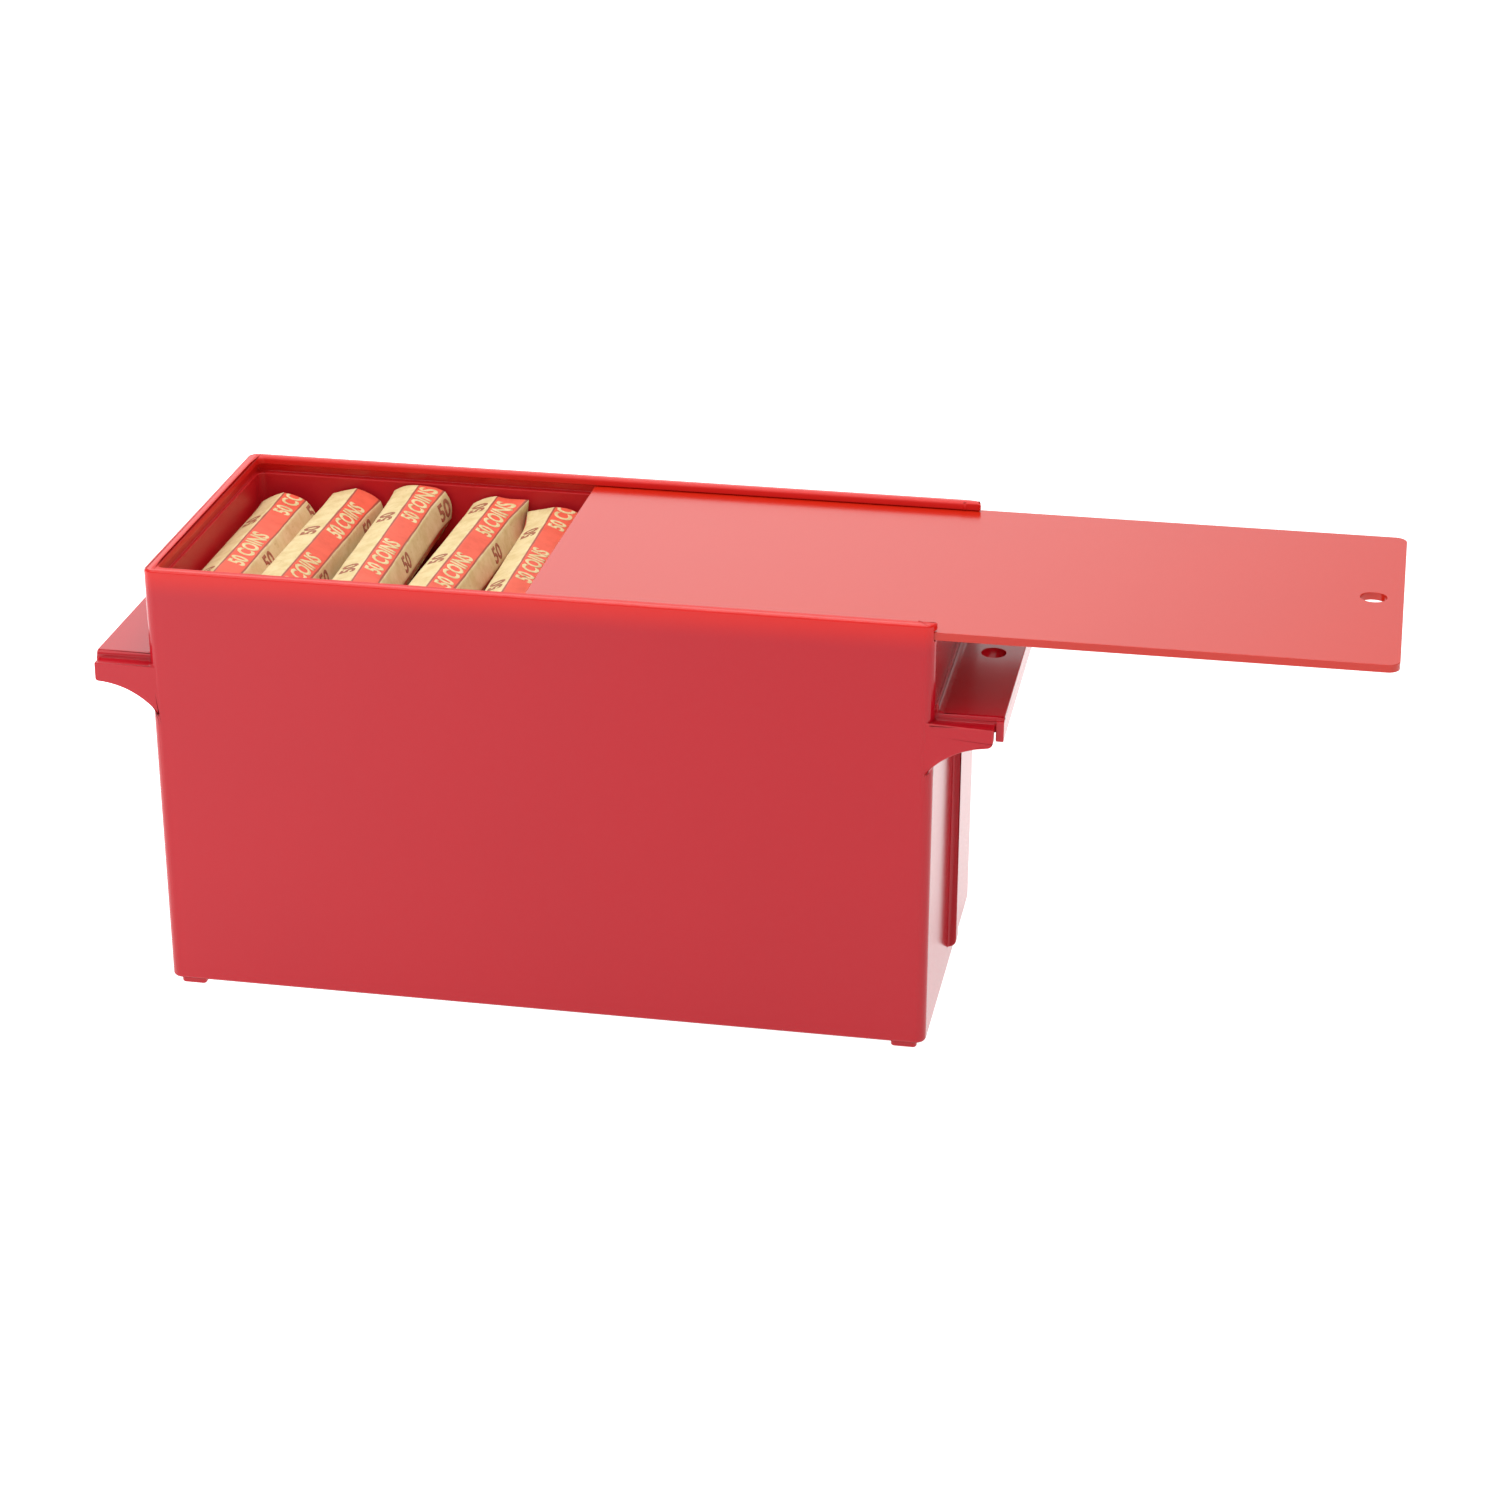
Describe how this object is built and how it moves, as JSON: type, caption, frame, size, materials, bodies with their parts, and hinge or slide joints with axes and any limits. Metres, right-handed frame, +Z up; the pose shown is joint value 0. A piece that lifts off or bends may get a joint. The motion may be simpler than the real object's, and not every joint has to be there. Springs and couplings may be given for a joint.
{
  "type": "coin roll storage box",
  "caption": "Moulded plastic box for wrapped coin rolls, with a lid sliding in grooves, an end flange handle at each end and a seal hole, shown half open and full of paper coin rolls.",
  "frame": {"origin": "middle of the object's footprint with the lid half open, on the surface that its feet stand on", "axes": "+X along the box towards the end where the lid slides out, +Y to the back, +Z up"},
  "size_m": [0.3914, 0.1088, 0.1406],
  "materials": {
    "box_plastic": "semi-gloss moulded red plastic",
    "lid_plastic": "glossy red plastic sheet",
    "kraft_paper": "matt kraft coin wrapper with printed red stripes",
    "copper_coins": "bright copper-plated coins"
  },
  "bodies": {
    "box": {"bottom_coin_rolls": "kraft_paper", "box_body": "box_plastic", "coin_stack_01": "copper_coins", "coin_stack_02": "copper_coins", "coin_stack_03": "copper_coins", "coin_stack_04": "copper_coins", "coin_stack_05": "copper_coins", "coin_stack_06": "copper_coins", "coin_stack_07": "copper_coins", "coin_stack_08": "copper_coins", "coin_stack_09": "copper_coins", "coin_stack_10": "copper_coins", "coin_stack_11": "copper_coins", "row2_roll_01": "kraft_paper", "row2_roll_02": "kraft_paper", "row2_roll_03": "kraft_paper", "row2_roll_04": "kraft_paper", "row2_roll_05": "kraft_paper", "row2_roll_06": "kraft_paper", "row2_roll_07": "kraft_paper", "row2_roll_08": "kraft_paper", "row2_roll_09": "kraft_paper", "row2_roll_10": "kraft_paper", "row3_roll_01": "kraft_paper", "row3_roll_02": "kraft_paper", "row3_roll_03": "kraft_paper", "row3_roll_04": "kraft_paper", "row3_roll_05": "kraft_paper", "row3_roll_06": "kraft_paper", "row3_roll_07": "kraft_paper", "row3_roll_08": "kraft_paper", "row3_roll_09": "kraft_paper", "row3_roll_10": "kraft_paper", "row3_roll_11": "kraft_paper", "row4_roll_01": "kraft_paper", "row4_roll_02": "kraft_paper", "row4_roll_03": "kraft_paper", "row4_roll_04": "kraft_paper", "row4_roll_05": "kraft_paper", "row4_roll_06": "kraft_paper", "row4_roll_07": "kraft_paper", "row4_roll_08": "kraft_paper", "row4_roll_09": "kraft_paper", "row4_roll_10": "kraft_paper", "wrapper_01": "kraft_paper", "wrapper_02": "kraft_paper", "wrapper_03": "kraft_paper", "wrapper_04": "kraft_paper", "wrapper_05": "kraft_paper", "wrapper_06": "kraft_paper", "wrapper_07": "kraft_paper", "wrapper_08": "kraft_paper", "wrapper_09": "kraft_paper", "wrapper_10": "kraft_paper", "wrapper_11": "kraft_paper"},
    "lid": {"sliding_lid": "lid_plastic"}
  },
  "joints": [
    {"name": "lid_slide", "type": "slide", "parent": "box", "child": "lid", "axis": [1, 0, 0], "range_m": [-0.113, 0.126]}
  ]
}
